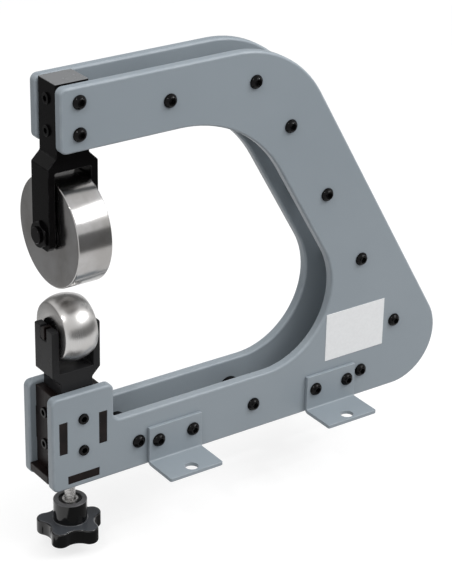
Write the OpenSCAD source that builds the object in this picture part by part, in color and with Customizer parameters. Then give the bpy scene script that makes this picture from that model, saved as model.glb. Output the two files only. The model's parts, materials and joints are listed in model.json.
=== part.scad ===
// Bench-top english wheel: two side plates hold a flat upper wheel in a fork and a crowned
// anvil wheel in a yoke, which a star knob and a screw raise and lower.
// x runs from the mouth to the back, y across the plates, and z up from the bench.
// Sizes are taken from the wheels' centre line, and the origin lies amid the four bench holes.

/* [Side plates] */
// Thickness of each side plate
plate_t = 8; // [6:0.5:12]
// Gap between the two side plates
plate_gap = 25; // [22:0.5:32]
// Depth of the throat behind the wheels' centre line
throat_depth = 219; // [190:0.5:300]
// Height of the throat between the base beam and the arm
throat_h = 212.5; // [200:0.5:280]
// Depth of the upper arm
arm_h = 46.5; // [38:0.5:60]
// Depth of the base beam
base_h = 45; // [38:0.5:60]
// Width of the sloping back, square to its slope
back_w = 56.5; // [50:0.5:80]
// Slope of the back, in degrees from the bench
back_angle = 59.7; // [56:0.1:68]
// Radius of the throat's upper corner
throat_top_r = 101; // [70:1:120]
// Radius of the throat's lower corner
throat_low_r = 58.5; // [40:0.5:70]
// Outer radius at the top of the back
back_top_r = 87; // [50:1:100]
// Outer radius at the foot of the back
back_low_r = 40; // [25:1:48]
// Radius of the corners of the head and the arm
corner_r = 5; // [2:0.5:6]
// Radius of the inner corner behind the head
notch_r = 6; // [3:0.5:10]
// How far the arm reaches ahead of the wheels' centre line
arm_front = 14.5; // [13.5:0.5:22]
// Length of the head that guides the post
head_l = 51; // [46:0.5:60]
// Height of the head
head_h = 75.5; // [72:0.5:77]

/* [Spacers and screws] */
// Diameter of the round spacers between the plates
spacer_d = 18; // [14:0.5:20]
// Distance of the first base spacer behind the wheels' centre line
base_first = 46.5; // [42:0.5:50]
// Distance of the last base spacer ahead of the centre of the back's lower radius
base_last = 33.5; // [30:0.5:40]
// How far the frame's screws sit below the middle of the base and the arm
screw_drop = 0.7; // [0:0.1:2]
// Number of spacers in the base beam
base_count = 3; // [2:1:4]
// Distance of the first arm spacer behind the wheels' centre line
arm_first = 71.5; // [60:0.5:76]
// Distance of the last arm spacer behind the centre of the back's upper radius
arm_last = 16.5; // [5:0.5:20]
// Distance of the back's spacers from its outer edge
back_edge = 33.5; // [26:0.5:36]
// Height of the lowest back spacer above the base spacers
back_low_rise = 35.5; // [34:0.5:42]
// Drop of the highest back spacer below the arm spacers
back_high_drop = 39.5; // [34:0.5:44]
// Number of spacers along the back
back_count = 4; // [3:1:5]
// Diameter of the frame's screws
screw_d = 6; // [5:0.5:6]
// Length of the screws' grip in the spacers and in the fork
screw_grip = 8; // [6:0.5:8]
// Head diameter of the frame's screws
screw_head_d = 10.5; // [9.5:0.1:12]
// Head height of the frame's screws
screw_head_h = 3.3; // [2.7:0.1:3.6]
// Width across the flats of the frame screws' sockets
screw_key = 4; // [3:0.5:4]

/* [Upper fork and wheel] */
// Diameter of the upper wheel
upper_d = 80; // [60:1:84]
// Width of the upper wheel
upper_w = 26.5; // [24:0.5:30]
// Size of the edge break on the upper wheel's rims
upper_rim = 0.8; // [0.4:0.1:1.5]
// Gap between each wheel and the cheek beside it
cheek_gap = 0.8; // [0.6:0.1:1.2]
// Thickness of the fork's and the yoke's cheeks
cheek_t = 5.7; // [5:0.1:8]
// Width of the fork's shank along the throat
shank_w = 26; // [24:0.5:27]
// Gap between the shank and each side plate
shank_play = 1.2; // [0.2:0.1:1.5]
// Gap between the arm and the fork's shoulders
shoulder_gap = 5.3; // [4:0.1:12]
// Height of the fork's bridge above the wheel's window
fork_bridge = 10.5; // [8:0.1:14]
// Gap between the upper wheel and the fork's bridge
upper_top_gap = 6.8; // [2:0.1:10]
// Length of the fork's cheeks below the axle
cheek_tail = 10.6; // [10.6:0.1:16]
// Corner cut at the ends of the fork's cheeks
fork_cut = 3.5; // [1:0.5:5]
// How far the shank stands above the arm
shank_proud = 0.6; // [0.5:0.1:3]
// How much higher the middle of the fork's screws sits than the arm's screws
fork_rise = 1.5; // [0:0.1:2]
// Distance of each fork screw from the middle between them
fork_screw_off = 11.4; // [9:0.1:13]
// Head diameter of the upper axle bolt, at its rear end
axle_head_d = 21; // [18:0.5:23]
// Head height of the upper axle bolt
axle_head_h = 6.6; // [5:0.1:8]
// Width across the flats of the upper axle bolt's socket
axle_key = 8; // [6:1:8]
// Width across the flats of the axle nut
axle_nut_af = 18; // [17:0.5:18]
// Height of the axle nut
axle_nut_h = 2.5; // [2.5:0.5:10]

/* [Post, yoke and anvil wheel] */
// Diameter of the anvil wheel over its crown
lower_d = 49; // [46:0.5:54]
// Width of the anvil wheel
lower_w = 26; // [24:0.5:30]
// Opening between the two wheels as modelled
opening = 11.4; // [9:0.1:12]
// Gap between the anvil wheel and the yoke's bridge
lower_gap = 4.5; // [3:0.5:6]
// Height of the yoke's bridge below the wheel's window
yoke_bridge = 8.5; // [8:0.1:12]
// Corner cut at the ends of the yoke's cheeks
yoke_cut = 1; // [0.5:0.1:2]
// Width of the post along the throat
post_w = 26; // [24:0.5:27]
// Sliding clearance on each side of the post
slide_gap = 0.15; // [0.1:0.05:0.3]
// How far the post can go down from the height modelled
lift_down = 7.5; // [3:0.5:7.5]
// Width across the flats at the ends of the anvil axle
axle_flat = 8; // [7:0.5:9]
// Diameter of the shims beside the wheels
shim_d = 20; // [16:0.5:24]
// Thickness of the guide bars
guide_t = 6.5; // [5:0.5:8]
// How far the guide bars stop below the top of the head
guide_drop = 2.3; // [0:0.1:4]
// Height of the guide bars' tabs
tab_h = 25.6; // [20:0.2:28]
// Height of the guide bars' tabs above the bench
tab_z = 30; // [24:0.5:32]
// Thickness of the tapped plate under the post
tapped_t = 6.5; // [5:0.5:8]
// Height of the tapped plate above the bench
tapped_z = 4.2; // [2:0.1:5]
// Length of the tapped plate's tabs
tapped_tab = 26; // [20:0.5:30]
// Diameter of the set screws
set_d = 8; // [6:0.5:8]
// Height of the lower side set screw
set_low = 29; // [24:0.5:34]
// Height of the upper side set screw
set_high = 54.5; // [46:0.5:60]
// How much higher the front set screws sit than the side ones
set_rise = 1.5; // [0:0.5:4]
// How far the set screws stand out
set_proud = 1.5; // [0.5:0.1:3]
// Width across the flats of the set screws' sockets
set_key = 4; // [2.5:0.5:4]

/* [Axles and bearings] */
// Diameter of the upper axle bolt
upper_axle_d = 12; // [10:0.5:13]
// Outer diameter of the upper wheel's bearings
upper_bearing_d = 24; // [22:0.5:28]
// Width of the upper wheel's bearings
upper_bearing_w = 6; // [5:0.5:8]
// Diameter of the balls in the upper wheel
upper_ball_d = 3.5; // [3:0.1:3.9]
// Number of balls in each bearing of the upper wheel
upper_ball_count = 10; // [8:1:12]
// Diameter of the anvil axle
anvil_axle_d = 10; // [9:0.5:11]
// Outer diameter of the anvil wheel's bearings
anvil_bearing_d = 19; // [18:0.5:22]
// Width of the anvil wheel's bearings
anvil_bearing_w = 5; // [4:0.5:6]
// Diameter of the balls in the anvil wheel
anvil_ball_d = 2.4; // [2:0.1:2.8]
// Number of balls in each bearing of the anvil wheel
anvil_ball_count = 11; // [9:1:13]

/* [Screw and knob] */
// Diameter of the adjusting screw
adjust_d = 8; // [7:0.5:9]
// Diameter of the screw's plain end in the post
journal_d = 6; // [5:0.5:6]
// Length of the screw's plain end in the post
journal_l = 12; // [8:0.5:20]
// Depth of the knob's top below the bench
knob_drop = 21.4; // [20:0.1:34]
// Diameter across the knob's lobes
knob_d = 50; // [46:1:60]
// Height of the whole knob
knob_h = 29.5; // [26:0.5:36]
// Height of the knob's lobes
lobe_h = 12.3; // [9:0.1:15]
// Width of each lobe
lobe_w = 13.5; // [11:0.5:13.5]
// Number of lobes
lobe_count = 5; // [4:1:6]
// Distance of the hollows between the lobes from the knob's axis
valley_r = 18; // [15:0.1:18.4]
// Diameter of the knob's hub
hub_d = 25; // [22:0.5:27]
// Diameter of the steel insert in the knob
insert_d = 12; // [11.5:0.5:14]
// Length of the steel insert in the knob
insert_l = 16; // [12:0.5:20]

/* [Feet and label] */
// Length of each foot along the base
foot_l = 46; // [42:0.5:56]
// Height of each foot's upright leg
foot_leg = 31; // [28:0.5:36]
// Reach of each foot from the plate
foot_reach = 31.5; // [30:0.5:44]
// Sheet thickness of the feet
foot_t = 3; // [2:0.5:4]
// Inner radius of the feet's bend
foot_bend = 1.5; // [0.5:0.5:3]
// Radius of the feet's outer corners
foot_corner = 1.5; // [1:0.5:8]
// Distance of each foot's centre from the end base spacer
foot_inset = 30.5; // [29:0.5:34]
// Distance of a foot's screws from its centre
foot_screw_off = 15; // [12:0.5:16]
// Height of the foot screws
foot_screw_z = 19.5; // [18:0.5:22]
// Diameter of the bench holes
bench_hole_d = 10; // [7:0.5:11]
// Distance of the bench holes from the plate
bench_hole_off = 24; // [20:0.5:24]
// Length of the blank label
label_l = 56; // [40:1:58]
// Height of the blank label
label_h = 39.5; // [25:0.5:40]
// Thickness of the blank label
label_t = 0.3; // [0.2:0.1:0.6]
// Distance of the label's centre ahead of the centre of the back's lower radius
label_ahead = 41; // [36:0.5:44]
// Height of the label's centre
label_z = 59; // [50:0.5:60]

/* [Hidden] */
$fn = 96;
// Radial gaps: a thread, a loose hole, a bearing fit, and the post's plain bore
thread_gap = 0.05;
hole_gap = 0.3;
fit_gap = 0.02;
run_gap = 0.05;
// Gap round the tabs in the plates' slots
slot_gap = 0.1;
// Gap left at the end of the post's way down
stop_gap = 0.3;
// How far a cut runs past a face
past = 1;
// Ball bearings: bore, outer diameter, width, ball diameter and number of balls
upper_bearing = [upper_axle_d, upper_bearing_d, upper_bearing_w, upper_ball_d, upper_ball_count];
anvil_bearing = [anvil_axle_d, anvil_bearing_d, anvil_bearing_w, anvil_ball_d, anvil_ball_count];
ball_gap = 0.15;
pocket_gap = 0.1;
cage_rim = 0.3;
cage_t = 0.9;
seal_t = 0.6;
seal_inset = 0.3;
bearing_shoulder = 1.5;
ring_wall = 1.6;
// End of the upper axle bolt beyond its nut, and depth of the groove in the knob's top
bolt_end = 2;
groove_w = 2.75;
groove_h = 1.2;

half_gap = plate_gap / 2;
outer_y = half_gap + plate_t;
throat_z = base_h + throat_h;
frame_h = throat_z + arm_h;
base_z = base_h / 2 - screw_drop;
arm_z = throat_z + arm_h / 2 - screw_drop;

// The back's two slanted edges are lines at a set distance, along the slope's normal, from the start
slope = [sin(back_angle), cos(back_angle)];
throat_low_c = [throat_depth - throat_low_r, base_h + throat_low_r];
throat_side = slope * throat_low_c + throat_low_r;
back_side = throat_side + back_w;
// Where the line at this distance crosses height z, and the circle of radius r that touches it
function slope_x(side, z) = (side - slope.y * z) / slope.x;
function touching(side, r, z) = [slope_x(side - r, z), z];
throat_top_c = touching(throat_side, throat_top_r, throat_z - throat_top_r);
back_low_c = touching(back_side, back_low_r, back_low_r);
back_top_c = touching(back_side, back_top_r, frame_h - back_top_r);

// Spacers and screws, as points on the plates
function spread(a, b, count, i) = a + (b - a) * i / (count - 1);
base_end = back_low_c.x - base_last;
back_low_z = base_z + back_low_rise;
back_high_z = arm_z - back_high_drop;
base_points = [for (i = [0:base_count - 1]) [spread(base_first, base_end, base_count, i), base_z]];
arm_points = [[arm_first, arm_z], [back_top_c.x + arm_last, arm_z]];
back_points = [for (i = [0:back_count - 1])
    let (z = spread(back_low_z, back_high_z, back_count, i))
    [slope_x(back_side - back_edge, z), z]];
frame_points = concat(base_points, arm_points, back_points);
fork_points = [for (s = [-1, 1]) [0, arm_z + fork_rise + s * fork_screw_off]];
foot_front = base_first + foot_inset;
foot_rear = base_end - foot_inset;
foot_mid = (foot_front + foot_rear) / 2;
foot_points = [for (x = [foot_front, foot_rear], s = [-1, 1]) [x + s * foot_screw_off, foot_screw_z]];

// Heights of the fork, the wheels and the post
fork_top = throat_z - shoulder_gap;
fork_window = fork_top - fork_bridge;
upper_z = fork_window - upper_top_gap - upper_d / 2;
fork_low = upper_z - cheek_tail;
shank_half = half_gap - shank_play;
upper_in = upper_w / 2 + cheek_gap;
lower_z = upper_z - upper_d / 2 - opening - lower_d / 2;
lower_in = lower_w / 2 + cheek_gap;
lower_out = lower_in + cheek_t;
axle_r = anvil_axle_d / 2;
yoke_window = lower_z - lower_d / 2 - lower_gap;
yoke_low = yoke_window - yoke_bridge;
yoke_high = lower_z + axle_r;
tapped_top = tapped_z + tapped_t;
post_low = tapped_top + stop_gap + lift_down;
post_half = half_gap - slide_gap;
guide_in = post_w / 2 + slide_gap;
guide_out = guide_in + guide_t;
knob_low = -knob_drop - knob_h;
lobe_r = lobe_w / 2;

// A shape drawn in x and z, carried across the plates from y0 to y1
module across(y0, y1) translate([0, y1, 0]) rotate([90, 0, 0]) linear_extrude(y1 - y0) children();
// A shape drawn in y and z, carried along the throat from x0 to x1
module along(x0, x1) translate([x0, 0, 0]) rotate([90, 0, 90]) linear_extrude(x1 - x0) children();
module bar(a, b) translate(a) cube(b - a);
module rod_x(x0, x1, y, z, r) translate([x0, y, z]) rotate([0, 90, 0]) cylinder(r = r, h = x1 - x0);
// Turns a shape made about z onto the wheels' axis
module on_axis(x, z) translate([x, 0, z]) rotate([0, 90, 0]) children();
module from_side(p, side, y) translate([p.x, side * y, p.y]) rotate([-90 * side, 0, 0]) children();
module on_bench() translate([-foot_mid, 0, 0]) children();

module soft_rect(l, h, r) {
    translate([r, 0]) square([l - 2 * r, h]);
    translate([0, r]) square([l, h - 2 * r]);
    for (x = [r, l - r], y = [r, h - r]) translate([x, y]) circle(r);
}

module tube(r_in, r_out, h) difference() {
    cylinder(r = r_out, h = h, center = true);
    cylinder(r = r_in, h = h + 2 * past, center = true);
}

module hex_hole(key, depth) translate([0, 0, -depth]) cylinder(d = key / cos(30), h = depth + past, $fn = 6);

// A button head screw with its seat at z = 0 and its shank below
module button_screw(d, grip, head_d, head_h, key) {
    rim_h = head_h / 6;
    top_r = key * 0.72;
    dome_z = (head_d * head_d / 4 - top_r * top_r + rim_h * rim_h - head_h * head_h) / 2 / (head_h - rim_h);
    dome_r = sqrt(top_r * top_r + (head_h + dome_z) * (head_h + dome_z));
    difference() {
        union() {
            intersection() {
                cylinder(d = head_d, h = head_h);
                translate([0, 0, -dome_z]) sphere(dome_r);
            }
            translate([0, 0, -grip]) cylinder(d = d, h = grip + head_h / 2);
        }
        translate([0, 0, head_h]) hex_hole(key, head_h * 0.6);
    }
}

// A set screw with its outer end at z = 0
module set_screw(l) difference() {
    translate([0, 0, -l]) cylinder(d = set_d, h = l);
    hex_hole(set_key, l / 2);
}

// The fork's outline with its window's edge at z = 0: shank above, cheeks below
module stirrup(in_x, out_x, shank_x, bridge, shank_l, cheek_l) {
    side = [[in_x, -cheek_l], [out_x, -cheek_l], [out_x, bridge - out_x + shank_x],
        [shank_x, bridge], [shank_x, bridge + shank_l]];
    back = [for (i = [len(side) - 1:-1:0]) [-side[i].x, side[i].y]];
    polygon(concat(side, back, [[-in_x, 0], [in_x, 0]]));
}

// A box in y and z whose lower corners are cut
module cut_box(half, low, high, cut) polygon([[-half, high], [half, high], [half, low + cut],
    [half - cut, low], [cut - half, low], [-half, low + cut]]);

module plate_outline() {
    difference() {
        union() {
            polygon([[0, 0], [back_low_c.x, 0], back_low_c + back_low_r * slope,
                back_top_c + back_top_r * slope, [back_top_c.x, frame_h], [0, frame_h]]);
            translate(back_low_c) circle(back_low_r);
            translate(back_top_c) circle(back_top_r);
        }
        polygon([[-past, base_h], [throat_low_c.x, base_h], throat_low_c + throat_low_r * slope,
            throat_top_c + throat_top_r * slope, [throat_top_c.x, throat_z], [-past, throat_z]]);
        translate(throat_low_c) circle(throat_low_r);
        translate(throat_top_c) intersection() {
            circle(throat_top_r);
            square(throat_top_r + past);
        }
    }
    translate([-arm_front, throat_z]) soft_rect(2 * arm_front, arm_h, corner_r);
    translate([-head_l / 2, 0]) soft_rect(head_l, head_h, corner_r);
    translate([head_l / 2, base_h]) difference() {
        square(notch_r);
        translate([notch_r, notch_r]) circle(notch_r);
    }
}

module plate_holes() {
    for (p = concat(frame_points, fork_points)) translate(p) circle(screw_d / 2 + hole_gap);
    for (p = foot_points) translate(p) circle(screw_d / 2 + thread_gap);
    for (x = [-guide_out, guide_in])
        translate([x - slot_gap, tab_z - slot_gap]) square([guide_t, tab_h] + 2 * slot_gap * [1, 1]);
    translate([-tapped_tab / 2 - slot_gap, tapped_z - slot_gap])
        square([tapped_tab, tapped_t] + 2 * slot_gap * [1, 1]);
}

module side_plate() linear_extrude(plate_t) difference() {
    plate_outline();
    plate_holes();
    children();
}

module near_side_plate() color("lightsteelblue") translate([0, -half_gap, 0]) rotate([90, 0, 0])
    side_plate() for (z = [set_low, set_high]) translate([0, z]) circle(set_d / 2 + thread_gap);

module far_side_plate() color("lightsteelblue") translate([0, outer_y, 0]) rotate([90, 0, 0])
    side_plate();

module plate_spacers() color([0.1, 0.1, 0.11]) for (p = frame_points)
    translate([p.x, 0, p.y]) rotate([90, 0, 0]) tube(screw_d / 2 + thread_gap, spacer_d / 2, plate_gap);

module frame_screws() color([0.07, 0.07, 0.08]) for (p = frame_points, side = [-1, 1])
    from_side(p, side, outer_y)
        button_screw(screw_d, plate_t + screw_grip, screw_head_d, screw_head_h, screw_key);

module fork_screws() color([0.07, 0.07, 0.08]) for (p = fork_points, side = [-1, 1])
    from_side(p, side, outer_y)
        button_screw(screw_d, plate_t + screw_grip, screw_head_d, screw_head_h, screw_key);

// The set screws in the shank's front stop short of the side screws
fork_set_end = -screw_d / 2 - thread_gap - past;

module upper_fork() color([0.13, 0.13, 0.14]) difference() {
    intersection() {
        across(-shank_half, shank_half) translate([0, fork_window]) stirrup(upper_in, upper_in + cheek_t,
            shank_w / 2, fork_bridge, frame_h + shank_proud - fork_top, fork_window - fork_low);
        along(-shank_w, shank_w) cut_box(shank_half, fork_low, frame_h + shank_proud, fork_cut);
    }
    rod_x(-shank_w, shank_w, 0, upper_z, upper_axle_d / 2 + run_gap);
    for (p = fork_points) {
        for (side = [-1, 1]) from_side(p, side, half_gap - screw_grip - past / 2)
            cylinder(r = screw_d / 2 + thread_gap, h = screw_grip + past);
        rod_x(-shank_w, fork_set_end, 0, p.y - past, set_d / 2 + thread_gap);
    }
}

module fork_set_screws() color([0.07, 0.07, 0.08]) for (p = fork_points)
    translate([-shank_w / 2 - set_proud, 0, p.y - past]) rotate([0, -90, 0])
        set_screw(shank_w / 2 + set_proud + fork_set_end - past / 2);

module upper_axle_bolt() color([0.07, 0.07, 0.08])
    translate([upper_in + cheek_t, 0, upper_z]) rotate([0, 90, 0]) button_screw(upper_axle_d,
        2 * (upper_in + cheek_t) + axle_nut_h + bolt_end, axle_head_d, axle_head_h, axle_key);

// The nut stands in front, and a cone takes the corners off its outer face
module upper_axle_nut() color([0.07, 0.07, 0.08])
    on_axis(-upper_in - cheek_t - axle_nut_h, upper_z) difference() {
        half = axle_nut_af / 2;
        corner = half / cos(30);
        intersection() {
            cylinder(r = corner, h = axle_nut_h, $fn = 6);
            rotate_extrude() polygon([[0, 0], [half, 0], [corner + past, corner + past - half],
                [corner + past, axle_nut_h], [0, axle_nut_h]]);
        }
        translate([0, 0, -past]) cylinder(r = upper_axle_d / 2 + thread_gap, h = axle_nut_h + 2 * past);
    }

// Ball bearings, each about its own middle: rings, balls, cage and seals
function pitch_r(b) = (b[0] + b[1]) / 4;
function ring_edge(b) = b[3] / 4;

module inner_ring(b) rotate_extrude() difference() {
    translate([b[0] / 2 + fit_gap, -b[2] / 2]) square([pitch_r(b) - ring_edge(b) - b[0] / 2 - fit_gap, b[2]]);
    translate([pitch_r(b), 0]) circle(b[3] / 2 + ball_gap);
}

module outer_ring(b) rotate_extrude() difference() {
    translate([pitch_r(b) + ring_edge(b), -b[2] / 2]) square([b[1] / 2 - pitch_r(b) - ring_edge(b), b[2]]);
    translate([pitch_r(b), 0]) circle(b[3] / 2 + ball_gap);
}

module at_balls(b) for (i = [0:b[4] - 1]) rotate(360 / b[4] * i) translate([pitch_r(b), 0, 0]) children();

module balls(b) at_balls(b) sphere(d = b[3]);

module cage(b) difference() {
    tube(pitch_r(b) - cage_t / 2, pitch_r(b) + cage_t / 2, b[3] + 2 * cage_rim);
    at_balls(b) rotate([0, 90, 0]) cylinder(r = b[3] / 2 + pocket_gap, h = 2 * cage_t, center = true);
}

module seals(b) for (s = [-1, 1]) translate([0, 0, s * (b[2] / 2 - seal_inset - seal_t / 2)])
    tube(pitch_r(b) - ring_edge(b) + ball_gap, pitch_r(b) + ring_edge(b) - fit_gap, seal_t);

// Each wheel has a bearing flush with each of its sides
module upper_pair() for (s = [-1, 1]) on_axis(s * (upper_w - upper_bearing[2]) / 2, upper_z) children();
module anvil_pair() for (s = [-1, 1]) on_axis(s * (lower_w - anvil_bearing[2]) / 2, lower_z) children();

// A shim has a thin flange against the cheek and a boss that meets the inner ring
module shim(b) {
    bore = b[0] / 2 + fit_gap;
    translate([0, 0, cheek_gap * 0.75]) tube(bore, shim_d / 2, cheek_gap / 2);
    translate([0, 0, cheek_gap / 4]) tube(bore, bore + ring_wall, cheek_gap / 2);
}

module shims(b, half, z) for (s = [0, 1]) translate([0, 0, z]) mirror([s, 0, 0]) on_axis(half, 0) shim(b);

module ring_spacer(b, w) tube(b[0] / 2 + fit_gap, b[0] / 2 + ring_wall, w - 2 * b[2]);

// The bearings' seats in a wheel, with a shoulder between them, drawn from the wheel's axis
module seat_outline(b, w) {
    shoulder_half = w / 2 - b[2];
    translate([0, -w]) square([b[1] / 2 - bearing_shoulder, 2 * w]);
    for (y = [shoulder_half, -w]) translate([0, y]) square([b[1] / 2 + fit_gap, w - shoulder_half]);
}

module upper_wheel() color([0.62, 0.61, 0.6]) on_axis(0, upper_z) rotate_extrude() difference() {
    r = upper_d / 2;
    half = upper_w / 2;
    polygon([[0, -half], [r - upper_rim, -half], [r, upper_rim - half], [r, half - upper_rim],
        [r - upper_rim, half], [0, half]]);
    seat_outline(upper_bearing, upper_w);
}

// The anvil wheel is the middle slice of a ball
module anvil_wheel() color([0.72, 0.72, 0.72]) on_axis(0, lower_z) difference() {
    intersection() {
        sphere(d = lower_d);
        cylinder(d = lower_d + past, h = lower_w, center = true);
    }
    rotate_extrude() seat_outline(anvil_bearing, lower_w);
}

module upper_shims() color([0.1, 0.1, 0.1]) shims(upper_bearing, upper_w / 2, upper_z);
module upper_ring_spacer() color("dimgray") on_axis(0, upper_z) ring_spacer(upper_bearing, upper_w);
module upper_inner_rings() color("silver") upper_pair() inner_ring(upper_bearing);
module upper_outer_rings() color("silver") upper_pair() outer_ring(upper_bearing);
module upper_balls() color("gainsboro") upper_pair() balls(upper_bearing);
module upper_cages() color("goldenrod") upper_pair() cage(upper_bearing);
module upper_seals() color([0.12, 0.12, 0.12]) upper_pair() seals(upper_bearing);

module anvil_shims() color([0.1, 0.1, 0.1]) shims(anvil_bearing, lower_w / 2, lower_z);
module anvil_ring_spacer() color("dimgray") on_axis(0, lower_z) ring_spacer(anvil_bearing, lower_w);
module anvil_inner_rings() color("silver") anvil_pair() inner_ring(anvil_bearing);
module anvil_outer_rings() color("silver") anvil_pair() outer_ring(anvil_bearing);
module anvil_balls() color("gainsboro") anvil_pair() balls(anvil_bearing);
module anvil_cages() color("goldenrod") anvil_pair() cage(anvil_bearing);
module anvil_seals() color([0.12, 0.12, 0.12]) anvil_pair() seals(anvil_bearing);

// A guide bar stands on the tapped plate, and its tabs reach through both side plates
module guide_bar(x) {
    bar([x, -half_gap, tapped_top], [x + guide_t, half_gap, head_h - guide_drop]);
    bar([x, -outer_y, tab_z], [x + guide_t, outer_y, tab_z + tab_h]);
}

module front_guide_bar() color([0.14, 0.12, 0.12]) difference() {
    guide_bar(-guide_out);
    for (z = [set_low, set_high])
        rod_x(-guide_out - past, past - guide_in, 0, z + set_rise, set_d / 2 + thread_gap);
}

module rear_guide_bar() color([0.14, 0.12, 0.12]) guide_bar(guide_in);

module tapped_plate() color([0.14, 0.12, 0.12]) difference() {
    union() {
        bar([-head_l / 2, -half_gap, tapped_z], [head_l / 2, half_gap, tapped_top]);
        bar([-tapped_tab / 2, -outer_y, tapped_z], [tapped_tab / 2, outer_y, tapped_top]);
    }
    translate([0, 0, tapped_z - past]) cylinder(r = adjust_d / 2 + thread_gap, h = tapped_t + 2 * past);
}

module side_set_screws() color([0.07, 0.07, 0.08]) for (z = [set_low, set_high])
    from_side([0, z], -1, outer_y + set_proud) set_screw(plate_t + set_proud);

module front_set_screws() color([0.07, 0.07, 0.08]) for (z = [set_low, set_high])
    translate([-guide_out - set_proud, 0, z + set_rise]) rotate([0, -90, 0]) set_screw(guide_t + set_proud);

module lower_yoke() color([0.13, 0.13, 0.14]) difference() {
    intersection() {
        across(-post_half, post_half) translate([0, yoke_window]) mirror([0, 1]) stirrup(lower_in, lower_out,
            post_w / 2, yoke_bridge, yoke_low - post_low, yoke_high - yoke_window);
        along(-post_w, post_w) mirror([0, 1]) cut_box(post_half, -yoke_high, -post_low, yoke_cut);
    }
    bar([-post_w, -axle_flat / 2 - run_gap, lower_z - axle_r - run_gap],
        [post_w, axle_flat / 2 + run_gap, yoke_high + past]);
    translate([0, 0, post_low - past]) cylinder(r = journal_d / 2 + run_gap, h = journal_l + 2 * past);
}

module anvil_axle() color([0.15, 0.15, 0.15]) difference() {
    rod_x(-lower_out, lower_out, 0, lower_z, axle_r);
    for (x = [-lower_out - past, lower_in], y = [-axle_r - past, axle_flat / 2])
        translate([x, y, lower_z - axle_r - past]) cube([cheek_t + past, axle_r, 2 * (axle_r + past)]);
}

module adjusting_screw() color("silver") {
    screw_low = -knob_drop - insert_l;
    translate([0, 0, screw_low]) cylinder(d = adjust_d, h = post_low - run_gap - screw_low);
    translate([0, 0, post_low - past]) cylinder(d = journal_d, h = journal_l + past);
}

module knob_insert() color("gainsboro") translate([0, 0, -knob_drop - insert_l / 2])
    tube(adjust_d / 2 + thread_gap, insert_d / 2, insert_l);

// The knob's lobes are round tips, joined by hollows that touch both tips beside them
module star_outline() {
    step = 180 / lobe_count;
    tip_x = knob_d / 2 - lobe_r;
    hollow_r = (pow(tip_x, 2) + pow(valley_r, 2) - 2 * tip_x * valley_r * cos(step) - pow(lobe_r, 2))
        / 2 / (lobe_r + tip_x * cos(step) - valley_r);
    hollow_x = valley_r + hollow_r;
    difference() {
        union() {
            polygon([for (i = [0:2 * lobe_count - 1])
                let (r = i % 2 == 0 ? tip_x : hollow_x) r * [cos(step * i), sin(step * i)]]);
            for (i = [0:lobe_count - 1]) rotate(2 * step * i) translate([tip_x, 0]) circle(lobe_r);
        }
        for (i = [0:lobe_count - 1]) rotate(step * (2 * i + 1)) translate([hollow_x, 0]) circle(hollow_r);
    }
}

module star_knob() color([0.06, 0.06, 0.06]) difference() {
    union() {
        translate([0, 0, knob_low]) linear_extrude(lobe_h) star_outline();
        translate([0, 0, knob_low]) cylinder(d = hub_d, h = knob_h);
    }
    translate([0, 0, -knob_drop - insert_l - stop_gap])
        cylinder(r = insert_d / 2 + fit_gap, h = insert_l + stop_gap + past);
    translate([0, 0, -knob_drop - groove_h]) cylinder(r = insert_d / 2 + groove_w, h = groove_h + past);
}

// An L of bent sheet, drawn outwards from the plate and up from the bench
module foot_outline() {
    out_r = foot_bend + foot_t;
    difference() {
        union() {
            translate([out_r, 0]) square([foot_reach - out_r, foot_leg]);
            translate([0, out_r]) square([foot_reach, foot_leg - out_r]);
            translate([out_r, out_r]) circle(out_r);
        }
        translate([out_r, foot_t]) square([foot_reach, foot_leg]);
        translate([foot_t, out_r]) square([foot_reach, foot_leg]);
        translate([out_r, out_r]) circle(foot_bend);
    }
}

module foot(x, side) color("lightsteelblue") difference() {
    mirror([0, side < 0 ? 1 : 0, 0]) intersection() {
        translate([0, outer_y, 0]) along(x - foot_l / 2, x + foot_l / 2) foot_outline();
        translate([x - foot_l / 2, outer_y - foot_reach, -past])
            linear_extrude(foot_leg + 2 * past) soft_rect(foot_l, 2 * foot_reach, foot_corner);
    }
    translate([x, side * (outer_y + bench_hole_off), -past])
        cylinder(d = bench_hole_d, h = foot_t + 2 * past);
    for (s = [-1, 1]) from_side([x + s * foot_screw_off, foot_screw_z], side, outer_y - past)
        cylinder(r = screw_d / 2 + hole_gap, h = foot_t + 2 * past);
}

module near_front_foot() foot(foot_front, -1);
module near_rear_foot() foot(foot_rear, -1);
module far_front_foot() foot(foot_front, 1);
module far_rear_foot() foot(foot_rear, 1);

module foot_screws() color([0.07, 0.07, 0.08]) for (p = foot_points, side = [-1, 1])
    from_side(p, side, outer_y + foot_t)
        button_screw(screw_d, foot_t + plate_t, screw_head_d, screw_head_h, screw_key);

module blank_label() color("white") translate([back_low_c.x - label_ahead, 0, label_z])
    bar([-label_l / 2, -outer_y - label_t, -label_h / 2], [label_l / 2, -outer_y, label_h / 2]);

on_bench() near_side_plate();
on_bench() far_side_plate();
on_bench() plate_spacers();
on_bench() frame_screws();
on_bench() upper_fork();
on_bench() fork_screws();
on_bench() fork_set_screws();
on_bench() upper_axle_bolt();
on_bench() upper_axle_nut();
on_bench() upper_shims();
on_bench() upper_ring_spacer();
on_bench() upper_inner_rings();
on_bench() upper_outer_rings();
on_bench() upper_balls();
on_bench() upper_cages();
on_bench() upper_seals();
on_bench() upper_wheel();
on_bench() front_guide_bar();
on_bench() rear_guide_bar();
on_bench() tapped_plate();
on_bench() side_set_screws();
on_bench() front_set_screws();
on_bench() lower_yoke();
on_bench() anvil_axle();
on_bench() anvil_shims();
on_bench() anvil_ring_spacer();
on_bench() anvil_inner_rings();
on_bench() anvil_outer_rings();
on_bench() anvil_balls();
on_bench() anvil_cages();
on_bench() anvil_seals();
on_bench() anvil_wheel();
on_bench() adjusting_screw();
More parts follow.
